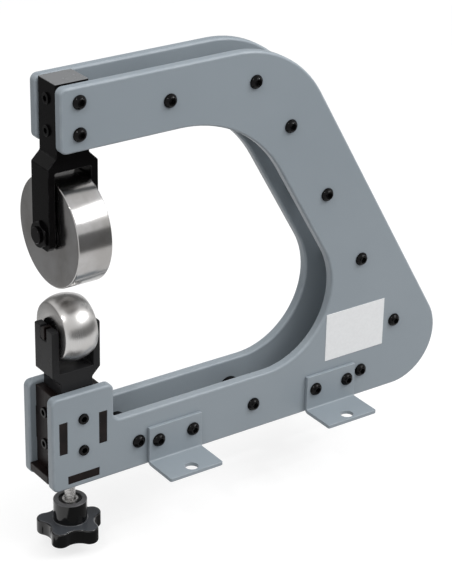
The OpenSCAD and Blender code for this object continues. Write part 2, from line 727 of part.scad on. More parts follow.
on_bench() knob_insert();
on_bench() star_knob();
on_bench() near_front_foot();
on_bench() near_rear_foot();
on_bench() far_front_foot();
on_bench() far_rear_foot();
on_bench() foot_screws();
on_bench() blank_label();
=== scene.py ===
import json
import math

import bmesh
import bpy
import numpy as np
from mathutils import Matrix, Vector


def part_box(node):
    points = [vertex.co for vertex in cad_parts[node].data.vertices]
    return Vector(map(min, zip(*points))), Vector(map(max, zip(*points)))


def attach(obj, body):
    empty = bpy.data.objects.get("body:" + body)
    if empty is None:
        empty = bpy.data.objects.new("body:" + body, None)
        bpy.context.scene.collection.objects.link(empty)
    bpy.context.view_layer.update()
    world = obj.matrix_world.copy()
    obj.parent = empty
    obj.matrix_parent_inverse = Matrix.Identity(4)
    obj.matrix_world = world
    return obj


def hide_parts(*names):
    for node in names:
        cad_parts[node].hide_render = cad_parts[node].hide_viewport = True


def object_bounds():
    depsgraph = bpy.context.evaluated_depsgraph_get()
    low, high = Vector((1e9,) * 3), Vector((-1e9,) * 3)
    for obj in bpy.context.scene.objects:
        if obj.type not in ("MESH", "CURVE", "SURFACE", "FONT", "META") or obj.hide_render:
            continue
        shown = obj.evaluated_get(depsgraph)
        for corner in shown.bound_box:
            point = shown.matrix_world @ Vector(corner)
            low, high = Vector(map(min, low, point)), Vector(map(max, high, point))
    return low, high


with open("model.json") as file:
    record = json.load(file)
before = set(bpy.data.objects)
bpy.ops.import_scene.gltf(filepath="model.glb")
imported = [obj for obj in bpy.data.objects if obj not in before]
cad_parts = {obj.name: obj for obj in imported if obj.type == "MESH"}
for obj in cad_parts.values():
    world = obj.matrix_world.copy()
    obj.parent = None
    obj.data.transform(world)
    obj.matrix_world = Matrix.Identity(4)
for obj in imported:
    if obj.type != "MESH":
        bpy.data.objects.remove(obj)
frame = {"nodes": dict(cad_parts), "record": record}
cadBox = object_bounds()
nodes = frame["nodes"]
slots = {part["node"]: part["material_slot"] for part in frame["record"]["subparts"]}
bodies = {node: body for body, group in frame["record"]["behaviour"]["bodies"].items() for node in group}
scene = bpy.context.scene
scene.view_settings.view_transform = "Standard"
print("frame loaded,", len(nodes), "nodes")


# Camera, with its distances in metres and its focal length in pixels of the picture
viewpoint = {
    "azimuth": 35.258,
    "elevation": 25.893,
    "roll": 1.262,
    "distance": 1.48071,
    "target": (-0.01293, 0.0, 0.11068),
    "focalPixels": 2003.26,
    "pictureHeight": 584,
    "sensor": 36.0,
}


def placeCamera():
    azimuth, elevation, roll = (math.radians(viewpoint[k]) for k in ("azimuth", "elevation", "roll"))
    level = math.cos(elevation)
    back = Vector((-math.sin(azimuth) * level, -math.cos(azimuth) * level, math.sin(elevation)))
    right = (-back).cross(Vector((0, 0, 1))).normalized()
    up = right.cross(-back)
    turnedRight = right * math.cos(roll) + up * math.sin(roll)
    turnedUp = up * math.cos(roll) - right * math.sin(roll)
    data = bpy.data.cameras.new("camera")
    data.sensor_width = viewpoint["sensor"]
    data.lens = viewpoint["focalPixels"] / viewpoint["pictureHeight"] * viewpoint["sensor"]
    camera = bpy.data.objects.new("camera", data)
    place = Matrix((turnedRight, turnedUp, back)).transposed().to_4x4()
    place.translation = Vector(viewpoint["target"]) + back * viewpoint["distance"]
    camera.matrix_world = place
    scene.collection.objects.link(camera)
    scene.camera = camera


placeCamera()
print("camera placed")


class Signal:
    # A socket of a node tree. Sums on it add Math nodes, and make() adds any other node.
    def __init__(self, tree, socket=None):
        self.tree = tree
        self.socket = socket

    def make(self, kind, settings=None, inputs=None, output=0):
        node = self.tree.nodes.new(kind)
        for key, value in (settings or {}).items():
            setattr(node, key, value)
        for key, value in (inputs or {}).items():
            if isinstance(value, Signal):
                self.tree.links.new(value.socket, node.inputs[key])
            else:
                node.inputs[key].default_value = value
        return Signal(self.tree, node.outputs[output] if node.outputs else None)

    def maths(self, operation, first, second=0.0):
        return self.make("ShaderNodeMath", {"operation": operation}, {0: first, 1: second})

    def __add__(self, other):
        return self.maths("ADD", self, other)

    def __radd__(self, other):
        return self.maths("ADD", other, self)

    def __sub__(self, other):
        return self.maths("SUBTRACT", self, other)

    def __rsub__(self, other):
        return self.maths("SUBTRACT", other, self)

    def __mul__(self, other):
        return self.maths("MULTIPLY", self, other)

    def __rmul__(self, other):
        return self.maths("MULTIPLY", other, self)

    def root(self):
        return self.maths("SQRT", self)

    def around(self, middle, spread):
        # A noise from 0 to 1 becomes a value that strays by half the spread to each side of the middle
        return middle + (self - 0.5) * spread

    def between(self, start, end):
        # 0 on the start's side, 1 on the end's side, and a smooth step from one to the other
        return self.make("ShaderNodeMapRange", {"interpolation_type": "SMOOTHSTEP"},
                         {"Value": self, "From Min": start, "From Max": end})

    def blend(self, first, second):
        # Colour first where this signal is 0 and second where it is 1. A Mix node's colours are its inputs
        # 6 and 7 and its output 2.
        first, second = (c if isinstance(c, Signal) else (*c, 1.0) for c in (first, second))
        return self.make("ShaderNodeMix", {"data_type": "RGBA"}, {0: self, 6: first, 7: second}, 2)

    def noise(self, scale, detail=2.0, roughness=0.5):
        values = {"Vector": self, "Scale": scale, "Detail": detail, "Roughness": roughness}
        return self.make("ShaderNodeTexNoise", {}, values)

    def parts(self):
        return [self.make("ShaderNodeSeparateXYZ", {}, {"Vector": self}, axis) for axis in range(3)]


def newFinish(name):
    # An empty material, its node tree, and the place of a point on the object
    material = bpy.data.materials.new(name)
    material.use_nodes = True
    material.node_tree.nodes.clear()
    shell = Signal(material.node_tree)
    return material, shell, shell.make("ShaderNodeTexCoord", output="Object")


def closeFinish(shell, inputs, height, depth):
    # The height is a relief of that depth in metres
    bump = shell.make("ShaderNodeBump", {}, {"Strength": 1.0, "Distance": depth, "Height": height})
    surface = shell.make("ShaderNodeBsdfPrincipled", {}, {**inputs, "Normal": bump})
    shell.make("ShaderNodeOutputMaterial", {}, {"Surface": surface})


# The spans of a noise's values that are spread over 0 to 1, for clouds and for the painted highlight on rims
noiseSpan = (0.3, 0.7)
rimHighlightSpan = (0.35, 0.7)


def paintedRimHighlight(shell, at, scale):
    # A painted highlight: the rounded edges of a piece carry the attribute rim, whose number is output 2,
    # broken up by a noise
    rim = shell.make("ShaderNodeAttribute", {"attribute_name": "rim"}, {}, 2)
    return rim * at.noise(scale, detail=3.0).between(*rimHighlightSpan)


powder = {
    "colour": (0.280, 0.320, 0.354),
    "cloudColour": (0.268, 0.308, 0.342),
    "cloudScale": 11.0,
    "cloudSpan": (0.35, 0.65),
    # A lighter colour painted on the rims as a highlight
    "rimHighlightColour": (0.315, 0.355, 0.39),
    "rimScale": 90.0,
    "rimShare": 0.8,
    "roughness": 0.40,
    "roughnessSpread": 0.12,
    "fleckScale": 260.0,
    "grainScale": 950.0,
    "grainDepth": 0.000035,
    "ior": 1.5,
}


def powderCoat():
    # A blue-grey coat, a little darker in clouds, with a painted highlight that lightens its rims, and a
    # fine grain
    material, shell, at = newFinish("powderCoat")
    cloud = at.noise(powder["cloudScale"], detail=3.0).between(*powder["cloudSpan"])
    # Painted highlight: the rounded rims are blended towards a lighter colour, broken up by a noise
    rim = paintedRimHighlight(shell, at, powder["rimScale"]) * powder["rimShare"]
    shade = cloud.blend(powder["colour"], powder["cloudColour"])
    closeFinish(shell, {
        "Base Color": rim.blend(shade, powder["rimHighlightColour"]),
        "Roughness": at.noise(powder["fleckScale"]).around(powder["roughness"], powder["roughnessSpread"]),
        "IOR": powder["ior"],
    }, at.noise(powder["grainScale"]), powder["grainDepth"])
    return material


blacks = {
    "oxide": {
        "colour": (0.0015, 0.0013, 0.0015),
        # A lighter colour painted on the rounded edges as a highlight
        "rimHighlightColour": (0.010, 0.009, 0.009),
        "roughness": 0.13,
        "roughnessSpread": 0.06,
        "specular": 0.12,
        "grainScale": 1500.0,
        "grainDepth": 0.000003,
    },
    "paint": {
        "colour": (0.0018, 0.0016, 0.0018),
        "rimHighlightColour": (0.02, 0.02, 0.021),
        "roughness": 0.26,
        "roughnessSpread": 0.16,
        "specular": 0.07,
        "grainScale": 700.0,
        "grainDepth": 0.00002,
    },
    "cloudScale": 70.0,
    "cloudGain": 1.35,
    "rimScale": 240.0,
    "rimShare": 0.5,
    "rimRoughness": 0.04,
}


def blackFinish(name, looks, tint=None):
    # A black surface whose gloss varies a little, with a painted highlight that lightens its rounded edges.
    # A tint changes its colour by place.
    material, shell, at = newFinish(name)
    cloud = at.noise(blacks["cloudScale"], detail=3.0)
    # Painted highlight on the rounded edges, which are blended towards a lighter colour
    rim = paintedRimHighlight(shell, at, blacks["rimScale"])
    lighter = tuple(c * blacks["cloudGain"] for c in looks["colour"])
    shade = cloud.between(*noiseSpan).blend(looks["colour"], lighter)
    shade = (rim * blacks["rimShare"]).blend(shade, looks["rimHighlightColour"])
    roughness = cloud.around(looks["roughness"], looks["roughnessSpread"])
    closeFinish(shell, {
        "Base Color": tint(at, shade) if tint else shade,
        "Roughness": roughness + rim * blacks["rimRoughness"],
        "Specular IOR Level": looks["specular"],
    }, at.noise(looks["grainScale"], detail=3.0), looks["grainDepth"])
    return material


# Heights are distances below the fork's own lowest and highest points
paintZones = {
    "yokeColour": (0.021, 0.021, 0.022),
    "yokeBelowFork": 0.005,
    "yokeFade": 0.001,
    "bareColour": (0.19, 0.195, 0.20),
    "bareBelowTop": 0.0003,
    "bareFade": 0.0002,
    "bareScale": 160.0,
    "bareSpan": (0.0, 0.35),
}


def paintByHeight(at, shade):
    # The yoke and its post, which stand under the fork, are greyer, and the fork's top is mostly bare metal
    forkLow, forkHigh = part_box("upper_fork")
    height = at.parts()[2]
    yokeTop = forkLow.z - paintZones["yokeBelowFork"]
    yoke = height.between(yokeTop, yokeTop - paintZones["yokeFade"])
    bareFrom = forkHigh.z - paintZones["bareBelowTop"]
    bare = height.between(bareFrom - paintZones["bareFade"], bareFrom)
    patches = at.noise(paintZones["bareScale"], detail=3.0).between(*paintZones["bareSpan"])
    return (bare * patches).blend(yoke.blend(shade, paintZones["yokeColour"]), paintZones["bareColour"])


burnished = {
    "colour": (0.006, 0.004, 0.0038),
    "cloudColour": (0.013, 0.0085, 0.008),
    "cloudScale": 85.0,
    "cloudSpan": (0.3, 0.72),
    # A lighter colour painted on the rims as a highlight
    "rimHighlightColour": (0.05, 0.043, 0.04),
    "rimScale": 300.0,
    "rimShare": 0.5,
    "roughness": 0.38,
    "roughnessSpread": 0.2,
    "specular": 0.12,
    "lineScales": (900.0, 900.0, 40.0),
    "lineDepth": 0.00002,
}


def burnishedSteel():
    # Hot rolled bar under a thin black: brownish, with faint drawn lines that run upright, and a painted
    # highlight on its rims
    material, shell, at = newFinish("burnishedSteel")
    squeezed = [part * scale for part, scale in zip(at.parts(), burnished["lineScales"])]
    lines = shell.make("ShaderNodeCombineXYZ", {}, dict(enumerate(squeezed))).noise(1.0, detail=3.0)
    cloud = at.noise(burnished["cloudScale"], detail=4.0).between(*burnished["cloudSpan"])
    # Painted highlight on the rounded rims
    rim = paintedRimHighlight(shell, at, burnished["rimScale"]) * burnished["rimShare"]
    shade = cloud.blend(burnished["colour"], burnished["cloudColour"])
    closeFinish(shell, {
        "Base Color": rim.blend(shade, burnished["rimHighlightColour"]),
        "Roughness": lines.around(burnished["roughness"], burnished["roughnessSpread"]),
        "Specular IOR Level": burnished["specular"],
    }, lines, burnished["lineDepth"])
    return material


turnedSteel = {
    "wheel": {"colour": (0.46, 0.455, 0.455), "stain": (0.33, 0.32, 0.31), "roughness": 0.16},
    "anvil": {"colour": (0.54, 0.535, 0.53), "stain": (0.46, 0.445, 0.43), "roughness": 0.27},
    "stainScale": 38.0,
    "stainRoughness": 0.04,
    "ringScale": 4200.0,
    "ringContrast": 0.6,
    "ringDepth": 0.000003,
    "roughnessSpread": 0.10,
}


def wheelFinish(name, looks, axis):
    # Steel turned about the wheel's axis: the marks are rings, so they follow x and the distance from it
    material, shell, at = newFinish(name)
    x, y, z = at.parts()
    up = z - axis.z
    along, radius = x - axis.x, (y * y + up * up).root()
    rings = {0: along * turnedSteel["ringScale"], 1: radius * turnedSteel["ringScale"]}
    marks = shell.make("ShaderNodeCombineXYZ", {}, rings).noise(1.0, 3.0, turnedSteel["ringContrast"])
    stain = at.noise(turnedSteel["stainScale"], detail=4.0).between(*noiseSpan)
    roughness = marks.around(looks["roughness"], turnedSteel["roughnessSpread"])
    closeFinish(shell, {
        "Base Color": stain.blend(looks["colour"], looks["stain"]),
        "Metallic": 1.0,
        "Roughness": roughness + stain * turnedSteel["stainRoughness"],
    }, marks, turnedSteel["ringDepth"])
    return material


knobLooks = {
    "colour": (0.0012, 0.0012, 0.0014),
    "cloudColour": (0.0022, 0.0022, 0.0024),
    "cloudScale": 60.0,
    # A painted reflection of the blue-grey plates on the lobes' flat tops
    "lobeReflectionColour": (0.055, 0.060, 0.068),
    "lobeHeight": 0.0123,
    "lobeFade": (0.0006, 0.0001),
    "hubColour": (0.11, 0.109, 0.115),
    "hubFade": (0.0012, 0.0003),
    "hubRoughness": 0.22,
    "roughness": 0.11,
    "roughnessSpread": 0.05,
    "grainScale": 1600.0,
    "grainDepth": 0.000004,
}


def knobPlastic():
    # Moulded black plastic: glossy sides, a painted blue-grey reflection on the lobes' flat tops, and a matt
    # top on the hub. The lobes' height is taken from the knob's foot, and each fade holds the distances at
    # which a zone starts and is full.
    material, shell, at = newFinish("knobPlastic")
    foot, hubTop = (corner.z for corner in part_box("star_knob"))
    height = at.parts()[2]
    start, full = knobLooks["hubFade"]
    hub = height.between(hubTop - start, hubTop - full)
    start, full = knobLooks["lobeFade"]
    lobeTop = foot + knobLooks["lobeHeight"]
    lobes = height.between(lobeTop - start, lobeTop - full) * height.between(lobeTop + start, lobeTop + full)
    cloud = at.noise(knobLooks["cloudScale"]).between(*noiseSpan)
    # Painted reflection: the lobes' flat tops take a blue-grey colour
    shade = lobes.blend(cloud.blend(knobLooks["colour"], knobLooks["cloudColour"]), knobLooks["lobeReflectionColour"])
    grain = at.noise(knobLooks["grainScale"])
    roughness = grain.around(knobLooks["roughness"], knobLooks["roughnessSpread"])
    closeFinish(shell, {
        "Base Color": hub.blend(shade, knobLooks["hubColour"]),
        "Roughness": roughness + hub * knobLooks["hubRoughness"],
    }, grain, knobLooks["grainDepth"])
    return material


screwSteel = {
    "colour": (0.55, 0.54, 0.53),
    "cloudGain": 0.9,
    "cloudScale": 120.0,
    "roughness": 0.27,
    "roughnessSpread": 0.12,
    "grainScale": 1800.0,
    "grainDepth": 0.000004,
}


def plainSteel():
    # Bright steel with a fine grain, a little darker in clouds
    material, shell, at = newFinish("plainSteel")
    grain = at.noise(screwSteel["grainScale"], detail=3.0)
    cloud = at.noise(screwSteel["cloudScale"]).between(*noiseSpan)
    darker = tuple(c * screwSteel["cloudGain"] for c in screwSteel["colour"])
    closeFinish(shell, {
        "Base Color": cloud.blend(screwSteel["colour"], darker),
        "Metallic": 1.0,
        "Roughness": grain.around(screwSteel["roughness"], screwSteel["roughnessSpread"]),
    }, grain, screwSteel["grainDepth"])
    return material


# The label's film, and the parts of the bearings, which the shims and the cheeks hide
mottled = {
    "labelFilm": {"colour": (0.86, 0.87, 0.88), "mottle": (0.83, 0.84, 0.85), "metallic": 0.0,
                  "roughness": 0.42, "scale": 420.0, "detail": 2.0, "depth": 0.000008},
    "bearingSteel": {"colour": (0.6, 0.6, 0.62), "mottle": (0.51, 0.51, 0.527), "metallic": 1.0,
                     "roughness": 0.16, "scale": 300.0, "detail": 3.0, "depth": 0.000005},
    "cageBrass": {"colour": (0.62, 0.44, 0.19), "mottle": (0.527, 0.374, 0.1615), "metallic": 1.0,
                  "roughness": 0.32, "scale": 300.0, "detail": 3.0, "depth": 0.000005},
    "sealRubber": {"colour": (0.018, 0.018, 0.018), "mottle": (0.0153, 0.0153, 0.0153), "metallic": 0.0,
                   "roughness": 0.6, "scale": 300.0, "detail": 3.0, "depth": 0.000005},
    "roughnessSpread": 0.1,
}


def mottledFinish(name):
    looks = mottled[name]
    material, shell, at = newFinish(name)
    mottle = at.noise(looks["scale"], looks["detail"])
    closeFinish(shell, {
        "Base Color": mottle.between(*noiseSpan).blend(looks["colour"], looks["mottle"]),
        "Metallic": looks["metallic"],
        "Roughness": mottle.around(looks["roughness"], mottled["roughnessSpread"]),
    }, mottle, looks["depth"])
    return material


def nodeMiddle(node):
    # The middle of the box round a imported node
    low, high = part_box(node)
    return (low + high) / 2


wheelAxis = nodeMiddle("upper_wheel")
anvilAxis = nodeMiddle("anvil_wheel")
finishes = {
    "powder_coat": powderCoat(),
    "black_oxide": blackFinish("blackOxide", blacks["oxide"]),
    "black_paint": blackFinish("blackPaint", blacks["paint"], paintByHeight),
    "dark_steel": burnishedSteel(),
    "wheel_steel": wheelFinish("wheelSteel", turnedSteel["wheel"], wheelAxis),
    "polished_steel": wheelFinish("anvilSteel", turnedSteel["anvil"], anvilAxis),
    "bearing_steel": mottledFinish("bearingSteel"),
    "cage_brass": mottledFinish("cageBrass"),
    "seal_rubber": mottledFinish("sealRubber"),
    "plain_steel": plainSteel(),
    "black_plastic": knobPlastic(),
    "label_white": mottledFinish("labelFilm"),
}
for node, piece in nodes.items():
    piece.data.materials.clear()
    piece.data.materials.append(finishes[slots[node]])
print("finishes made")


def standIn(node, mesh):
    # A made piece rides with the node's body, takes its finish and is shown in its place
    piece = bpy.data.objects.new(node + "_shape", mesh)
    scene.collection.objects.link(piece)
    mesh.materials.clear()
    mesh.materials.append(finishes[slots[node]])
    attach(piece, bodies[node])
    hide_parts(node)


def meshArray(items, key, width=1, kind=np.int32):
    # One value, or one row of values, for each item of a mesh
    values = np.empty(len(items) * width, kind)
    items.foreach_get(key, values)
    return values.reshape(-1, width) if width > 1 else values


def smoothFaces(mesh):
    # Smooth shading on every face
    mesh.polygons.foreach_set("use_smooth", np.ones(len(mesh.polygons), bool))


def runLabels(ends, count):
    # Points that edges join, directly or through others, get the same label, their lowest index
    label = np.arange(count)
    while True:
        least = np.minimum(label[ends[:, 0]], label[ends[:, 1]])
        lower = label.copy()
        np.minimum.at(lower, ends[:, 0], least)
        np.minimum.at(lower, ends[:, 1], least)
        lower = lower[lower]
        if (lower == label).all():
            return label
        label = lower


def runSizes(points, label):
    # The diagonal of the box round the run that each point belongs to
    low, high = np.full(points.shape, np.inf), np.full(points.shape, -np.inf)
    np.minimum.at(low, label, points)
    np.maximum.at(high, label, points)
    return np.linalg.norm(high[label] - low[label], axis=1)


mergeLooks = {"distance": 2e-6, "flatDegrees": 0.3}


def mergedSolid(name, node, whole):
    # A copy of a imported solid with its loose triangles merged, and its flat faces made whole if asked
    packed = nodes[node].data
    mesh = bpy.data.meshes.new(name)
    mesh.from_pydata(meshArray(packed.vertices, "co", 3, np.float32), [],
                     meshArray(packed.loops, "vertex_index").reshape(-1, 3))
    work = bmesh.new()
    work.from_mesh(mesh)
    bmesh.ops.remove_doubles(work, verts=work.verts, dist=mergeLooks["distance"])
    if whole:
        flat = math.radians(mergeLooks["flatDegrees"])
        bmesh.ops.dissolve_limit(work, angle_limit=flat, verts=work.verts, edges=work.edges)
    work.to_mesh(mesh)
    work.free()
    smoothFaces(mesh)
    return mesh


bevelLooks = {"sharpDegrees": 30.0, "segments": 3, "knobSegments": 4}


def bevelWidths(mesh, rounding):
    # An edge is sharp where its two faces turn by more than the sharp angle. Sharp edges that meet form one
    # run, and the size of the box round a run picks the width for its edges.
    normals = meshArray(mesh.polygons, "normal", 3, np.float32)
    sides = meshArray(mesh.polygons, "loop_total")
    faceOfCorner = np.repeat(np.arange(len(sides)), sides)
    byEdge = np.argsort(meshArray(mesh.loops, "edge_index"), kind="stable")
    first, second = normals[faceOfCorner[byEdge]].reshape(-1, 2, 3).swapaxes(0, 1)
    sharp = (first * second).sum(1) < math.cos(math.radians(bevelLooks["sharpDegrees"]))
    ends = meshArray(mesh.edges, "vertices", 2)
    points = meshArray(mesh.vertices, "co", 3, np.float32)
    size = runSizes(points, runLabels(ends[sharp], len(points)))[ends[:, 0]]
    width = np.zeros(len(ends))
    for least, radius in sorted(rounding):
        width[sharp & (size >= least)] = radius
    return width


def roundedCopy(node, rounding, segments):
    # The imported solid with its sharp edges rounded. The bevel puts its new faces on the second material,
    # which marks them as rim, and then both materials are one again.
    mesh = mergedSolid(node + "_body", node, True)
    width = bevelWidths(mesh, rounding)
    weights = mesh.attributes.new("bevel_weight_edge", "FLOAT", "EDGE")
    weights.data.foreach_set("value", (width / width.max()).astype(np.float32))
    for _ in range(2):
        mesh.materials.append(finishes[slots[node]])
    piece = bpy.data.objects.new(node + "_work", mesh)
    scene.collection.objects.link(piece)
    bevel = piece.modifiers.new("round", "BEVEL")
    bevel.limit_method = "WEIGHT"
    bevel.width = width.max()
    bevel.segments = segments
    bevel.use_clamp_overlap = False
    bevel.harden_normals = True
    bevel.material = 1
    bevel.miter_outer = "MITER_ARC"
    done = bpy.data.meshes.new_from_object(piece.evaluated_get(bpy.context.evaluated_depsgraph_get()))
    bpy.data.objects.remove(piece)
    onRim = meshArray(done.polygons, "material_index")
    done.attributes.new("rim", "FLOAT", "FACE").data.foreach_set("value", (onRim == 1).astype(np.float32))
    done.polygons.foreach_set("material_index", np.zeros(len(onRim), np.int32))
    done.name = node + "_shape"
    standIn(node, done)


# Radii of the rounded edges in metres: (nodes, [(least size of the run of edges, radius)])
edgeLooks = [
    (["plate_spacers"], [(0.012, 0.0006), (0, 0.0002)]),
    (["frame_screws", "fork_screws", "foot_screws"], [(0.012, 0.0003), (0, 0.00018)]),
    (["fork_set_screws", "side_set_screws", "front_set_screws"], [(0.009, 0.0004), (0, 0.00018)]),
    (["upper_fork"], [(0.03, 0.0008), (0, 0.0002)]),
    (["lower_yoke"], [(0.03, 0.0007), (0, 0.0002)]),
    (["upper_axle_bolt"], [(0.016, 0.0007), (0, 0.0004)]),
    (["front_guide_bar", "rear_guide_bar", "tapped_plate"], [(0.03, 0.0005), (0, 0.0002)]),
    (["anvil_axle"], [(0, 0.0004)]),
    (["star_knob"], [(0.055, 0.0016), (0.03, 0.0009), (0.02, 0.0004), (0, 0.0002)]),
    (["near_front_foot", "near_rear_foot", "far_front_foot", "far_rear_foot"],
     [(0.03, 0.0005), (0, 0.0003)]),
    (["blank_label"], [(0, 0.00012)]),
]
for group, rounding in edgeLooks:
    for node in group:
        roundedCopy(node, rounding, bevelLooks["knobSegments" if node == "star_knob" else "segments"])
    print("    edges rounded on", ", ".join(group))


# Radii in metres for the outline and the holes. A rim whose box is larger than leastOutline is the outline,
# and what lies within touch of a level lies on it.
plateLooks = {"outline": 0.0019, "hole": 0.0002, "steps": 6, "leastOutline": 0.1, "touch": 1e-6}


def plateRims(node):
    # The outline and the holes of a flat plate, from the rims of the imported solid's near side, where each
    # point knows the one after it, with the metal on the left. A rim edge is one that no other triangle of
    # that side goes back along.
    mesh = mergedSolid(node + "_body", node, False)
    points = meshArray(mesh.vertices, "co", 3, np.float32).astype(float)
    corners = meshArray(mesh.loops, "vertex_index").reshape(-1, 3)
    near, far = points[:, 1].min(), points[:, 1].max()
    flat = corners[(points[corners, 1] < near + plateLooks["touch"]).all(1)]
    ends = np.concatenate([flat[:, [0, 1]], flat[:, [1, 2]], flat[:, [2, 0]]])
    forth, back = (ends[:, k] * len(points) + ends[:, 1 - k] for k in (0, 1))
    ends = ends[~np.isin(forth, back)]
    ends = ends[np.argsort(ends[:, 0])]
    rim, after = points[ends[:, 0]][:, [0, 2]], np.searchsorted(ends[:, 0], ends[:, 1])
    label = runLabels(np.stack([np.arange(len(rim)), after], 1), len(rim))
    isOutline = runSizes(rim, label) > plateLooks["leastOutline"]
    return rim, after, np.where(isOutline, plateLooks["outline"], plateLooks["hole"]), near, far


def fillFlats(mesh, levels):
    # Fills what is open at each level of y with triangles, round the holes
    work = bmesh.new()
    work.from_mesh(mesh)
    border = [edge for edge in work.edges if edge.is_boundary]
    for level in levels:
        offset = {edge: max(abs(end.co.y - level) for end in edge.verts) for edge in border}
        flat = [edge for edge in border if offset[edge] < plateLooks["touch"]]
        bmesh.ops.triangle_fill(work, use_beauty=True, use_dissolve=False, edges=flat)
    bmesh.ops.recalc_face_normals(work, faces=work.faces)
    work.to_mesh(mesh)
    work.free()


def openEdges(mesh):
    # How many edges don't lie between exactly two faces
    used = np.bincount(meshArray(mesh.loops, "edge_index"), minlength=len(mesh.edges))
    return int((used != 2).sum())


def roundedPlate(node):
    # A rim with radius r is moved into the metal by r(1 - sin t) and away from the near side by
    # r(1 - cos t), for t from 0 to 90 degrees, and the same again from the far side
    rim, after, radius, near, far = plateRims(node)
    before = np.empty_like(after)
    before[after] = np.arange(len(rim))
    step = rim[after] - rim
    step /= np.linalg.norm(step, axis=1, keepdims=True)
    left = np.stack([-step[:, 1], step[:, 0]], 1)
    inward = (left + left[before]) / (1 + (left * left[before]).sum(1))[:, None]
    turn = np.linspace(0, math.pi / 2, plateLooks["steps"] + 1)
    turn = np.concatenate([turn, turn[::-1]])[:, None]
    side = np.repeat([1.0, -1.0], plateLooks["steps"] + 1)[:, None]
    place = rim + (radius * (1 - np.sin(turn)))[..., None] * inward
    depth = np.where(side > 0, near, far) + side * radius * (1 - np.cos(turn))
    points = np.stack([place[..., 0], depth, place[..., 1]], -1)
    lean = np.sin(turn)[..., None] * -inward / np.linalg.norm(inward, axis=1, keepdims=True)
    normals = np.stack([lean[..., 0], -side * np.cos(turn) + 0 * depth, lean[..., 1]], -1)
    rows, columns = depth.shape
    start = np.arange(rows - 1)[:, None] * columns
    here, there = start + np.arange(columns), start + after
    quads = np.stack([here, there, there + columns, here + columns], -1).reshape(-1, 4)
    shape = bpy.data.meshes.new(node + "_shape")
    shape.from_pydata(points.reshape(-1, 3), [], quads.tolist())
    fillFlats(shape, (near, far))
    rounded = np.zeros(len(shape.polygons), np.float32)
    rounded[:len(quads)] = np.repeat(np.arange(rows - 1) != plateLooks["steps"], columns)
    shape.attributes.new("rim", "FLOAT", "FACE").data.foreach_set("value", rounded)
    smoothFaces(shape)
    shape.normals_split_custom_set_from_vertices(normals.reshape(-1, 3))
    print("   ", node, columns, "rim points, open edges left:", openEdges(shape))
    standIn(node, shape)


roundedPlate("near_side_plate")
roundedPlate("far_side_plate")
print("plates rounded")


def gridMesh(name, points, closedAcross):
    # points[row, column] is a grid whose rows are closed rings. Across the rows it is either closed too, or
    # each end is shut by a fan to its middle point.
    rows, columns = points.shape[:2]
    row, column = np.arange(rows if closedAcross else rows - 1)[:, None], np.arange(columns)
    right, here, below = (column + 1) % columns, row * columns, (row + 1) % rows * columns
    quads = np.stack([here + column, here + right, below + right, below + column], -1)
    flat = points.reshape(-1, 3)
    faces = quads.reshape(-1, 4).tolist()
    if not closedAcross:
        flat = np.vstack([flat, points[0].mean(0), points[-1].mean(0)])
        last, pole = (rows - 1) * columns, np.full(columns, rows * columns)
        faces += np.stack([right, column, pole], 1).tolist()
        faces += np.stack([last + column, last + right, pole + 1], 1).tolist()
    mesh = bpy.data.meshes.new(name)
    mesh.from_pydata(flat, [], faces)
    work = bmesh.new()
    work.from_mesh(mesh)
    bmesh.ops.recalc_face_normals(work, faces=work.faces)
    if work.calc_volume(signed=True) < 0:
        bmesh.ops.reverse_faces(work, faces=work.faces)
    work.to_mesh(mesh)
    work.free()
    smoothFaces(mesh)
    return mesh


cornerSteps = 6


def softCurve(start, corner, end, share):
    # A quadratic curve from start to end, tangent to the lines from both to the corner
    return (1 - share) ** 2 * start + 2 * share * (1 - share) * corner + share ** 2 * end


def softRun(corners, reach):
    # A closed outline whose corners are quadratic curves, which start and end that far along its sides
    corners, reach = np.array(corners, float), np.array(reach, float)[:, None]
    sides = [np.roll(corners, k, 0) - corners for k in (1, -1)]
    start, end = (corners + side / np.linalg.norm(side, axis=1, keepdims=True) * reach for side in sides)
    share = np.linspace(0, 1, cornerSteps)[None, :, None]
    return softCurve(start[:, None], corners[:, None], end[:, None], share).reshape(-1, 2)


def fullTurn(columns):
    # Evenly spaced angles, without the last one, which is the first again
    return np.linspace(0, 2 * math.pi, columns, endpoint=False)


# Sizes in metres: the seats stand off the bearings by fit, and the bore between them is smaller by shoulder
wheelLooks = {
    "fit": 0.00002,
    "shoulder": 0.0015,
    "upperBearing": 0.006,
    "anvilBearing": 0.005,
    "rim": 0.0009,
    "anvilRim": 0.0008,
    "fine": 0.0002,
    "crownPoints": 49,
    "anvilRimPoints": 7,
    "columns": 200,
}


def turnedWheel(node, outline, axis):
    # Each point (along, radius) of a closed outline goes round the X axis through the point axis
    angle = fullTurn(wheelLooks["columns"])
    along, radius = axis.x + outline[:, :1] + 0 * angle, outline[:, 1:]
    points = np.stack([along, axis.y - radius * np.cos(angle), axis.z + radius * np.sin(angle)], -1)
    standIn(node, gridMesh(node + "_shape", points, True))


def wheelSizes(node, rings, bearing):
    # Half the width, the radius, the radii of the bearings' seats and of the bore between them, and half the
    # distance between the seats
    low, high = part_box(node)
    ringLow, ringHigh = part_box(rings)
    half, ring = (high.x - low.x) / 2, (ringHigh.z - ringLow.z) / 2
    seat, bore = ring + wheelLooks["fit"], ring - wheelLooks["shoulder"]
    return half, (high.z - low.z) / 2, seat, bore, half - bearing


def upperWheel():
    # A flat tread with soft rims, and a stepped bore
    bearing = wheelLooks["upperBearing"]
    half, radius, seat, bore, step = wheelSizes("upper_wheel", "upper_outer_rings", bearing)
    corners = [(-half, seat), (-half, radius), (half, radius), (half, seat), (step, seat), (step, bore),
               (-step, bore), (-step, seat)]
    rim, fine = wheelLooks["rim"], wheelLooks["fine"]
    outline = softRun(corners, [fine, rim, rim, fine, fine, fine, fine, fine])
    turnedWheel("upper_wheel", outline, wheelAxis)


